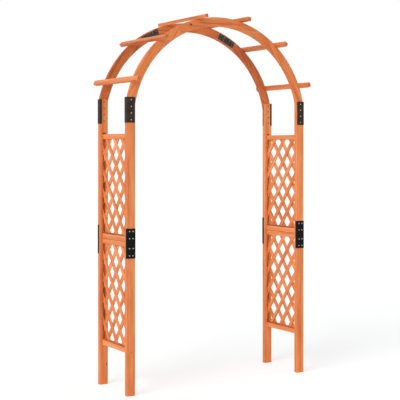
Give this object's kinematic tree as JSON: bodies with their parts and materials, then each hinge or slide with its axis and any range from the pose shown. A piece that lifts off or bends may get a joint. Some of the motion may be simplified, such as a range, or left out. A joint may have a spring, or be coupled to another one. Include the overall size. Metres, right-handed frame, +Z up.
{
  "type": "garden arbor",
  "caption": "Free-standing wooden garden arbor: round-headed arch on two latticed side frames, with cross rungs over the top.",
  "frame": {"origin": "on the ground, midway between the four feet", "axes": "+X to the right across the arch, +Y from the front rib to the back rib, +Z up"},
  "size_m": [1.286, 0.579, 2.2545],
  "materials": {
    "post_wood": "orange-brown stain on planed fir, matt",
    "rail_wood": "orange-brown stain on planed fir, matt",
    "lattice_wood_inner": "orange-brown stain on planed fir, matt",
    "lattice_wood_outer": "orange-brown stain on planed fir, matt",
    "rib_wood_left": "orange-brown stain on planed fir, matt",
    "rib_wood_crown": "orange-brown stain on planed fir, matt",
    "rib_wood_right": "orange-brown stain on planed fir, matt",
    "rung_wood": "orange-brown stain on planed fir, matt",
    "black_steel": "black powder coat on sheet steel, satin",
    "screw_steel": "zinc plated, dull",
    "dowel_wood": "bare beech"
  },
  "bodies": {
    "root": {"lower_post_front_left": "post_wood", "upper_post_front_left": "post_wood", "lower_post_front_right": "post_wood", "upper_post_front_right": "post_wood", "lower_post_back_left": "post_wood", "upper_post_back_left": "post_wood", "lower_post_back_right": "post_wood", "upper_post_back_right": "post_wood", "lower_panel_bottom_rail_left": "rail_wood", "lower_panel_bottom_rail_right": "rail_wood", "lower_panel_top_rail_left": "rail_wood", "lower_panel_top_rail_right": "rail_wood", "upper_panel_bottom_rail_left": "rail_wood", "upper_panel_bottom_rail_right": "rail_wood", "upper_panel_top_rail_left": "rail_wood", "upper_panel_top_rail_right": "rail_wood", "lower_lattice_inner_left": "lattice_wood_inner", "lower_lattice_inner_right": "lattice_wood_inner", "lower_lattice_outer_left": "lattice_wood_outer", "lower_lattice_outer_right": "lattice_wood_outer", "upper_lattice_inner_left": "lattice_wood_inner", "upper_lattice_inner_right": "lattice_wood_inner", "upper_lattice_outer_left": "lattice_wood_outer", "upper_lattice_outer_right": "lattice_wood_outer", "rib_front_left": "rib_wood_left", "rib_front_crown": "rib_wood_crown", "rib_front_right": "rib_wood_right", "rib_back_left": "rib_wood_left", "rib_back_crown": "rib_wood_crown", "rib_back_right": "rib_wood_right", "rung_1": "rung_wood", "rung_2": "rung_wood", "rung_3": "rung_wood", "rung_4": "rung_wood", "rung_5": "rung_wood", "rung_6": "rung_wood", "splice_channel_front_left": "black_steel", "splice_channel_front_right": "black_steel", "splice_channel_back_left": "black_steel", "splice_channel_back_right": "black_steel", "arch_bracket_front_left": "black_steel", "arch_bracket_front_right": "black_steel", "arch_bracket_back_left": "black_steel", "arch_bracket_back_right": "black_steel", "rib_plate_front_left": "black_steel", "rib_plate_front_right": "black_steel", "rib_plate_back_left": "black_steel", "rib_plate_back_right": "black_steel", "splice_screws": "screw_steel", "arch_bracket_screws": "screw_steel", "rib_plate_screws": "screw_steel", "rung_screws": "screw_steel", "rail_dowels": "dowel_wood"}
  },
  "joints": []
}
